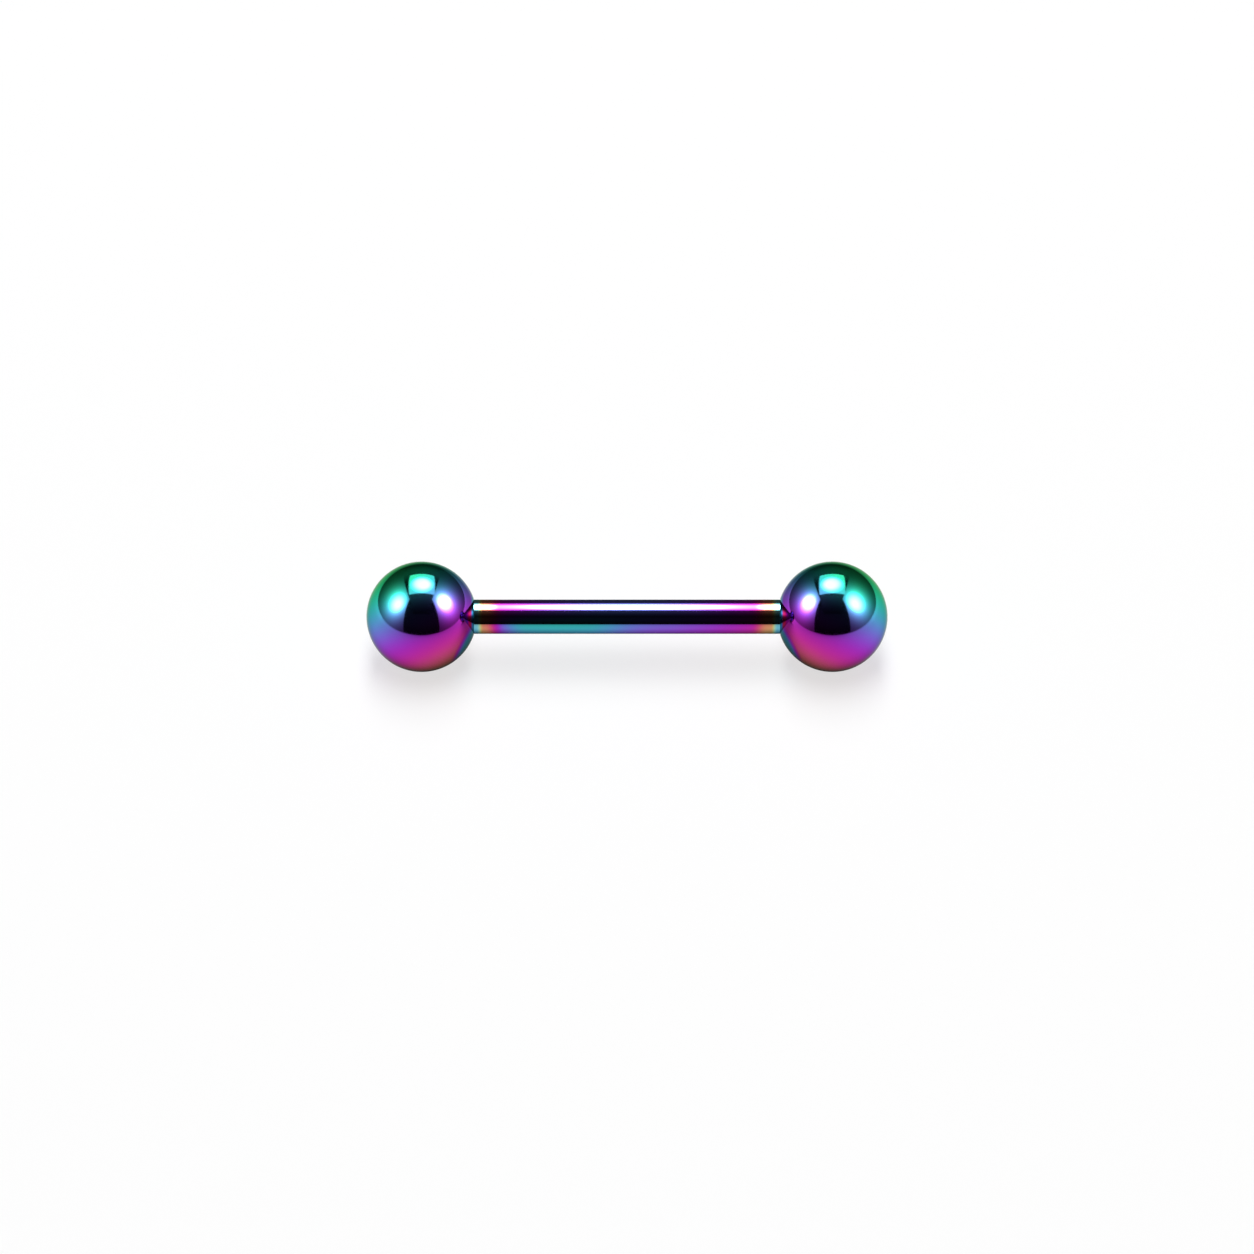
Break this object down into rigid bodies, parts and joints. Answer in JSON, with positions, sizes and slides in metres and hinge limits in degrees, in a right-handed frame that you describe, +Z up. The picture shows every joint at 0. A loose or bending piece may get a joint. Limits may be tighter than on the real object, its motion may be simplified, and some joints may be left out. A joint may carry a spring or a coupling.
{
  "type": "piercing barbell",
  "caption": "Straight body piercing barbell: polished shank with a ball screwed on at each end, in a rainbow finish.",
  "frame": {"origin": "on the surface that the barbell lies on, under the middle of its shank", "axes": "+X along the shank towards the right ball, +Y away from the viewer, +Z up"},
  "size_m": [0.0236, 0.005, 0.005],
  "materials": {
    "bar_film": "mirror-polished metal under a thin coloured film that runs from blue in the middle through magenta and gold to teal at the ends",
    "ball_film": "mirror-polished metal under a thin coloured film that runs from magenta through violet and blue to green"
  },
  "bodies": {
    "bar": {"bar": "bar_film"},
    "ball_left": {"ball_left": "ball_film"},
    "ball_right": {"ball_right": "ball_film"}
  },
  "joints": [
    {"name": "ball_left_unscrew", "type": "slide", "parent": "bar", "child": "ball_left", "axis": [-1, 0, 0], "range_m": [0, 0.003]},
    {"name": "ball_right_unscrew", "type": "slide", "parent": "bar", "child": "ball_right", "axis": [1, 0, 0], "range_m": [0, 0.003]}
  ]
}
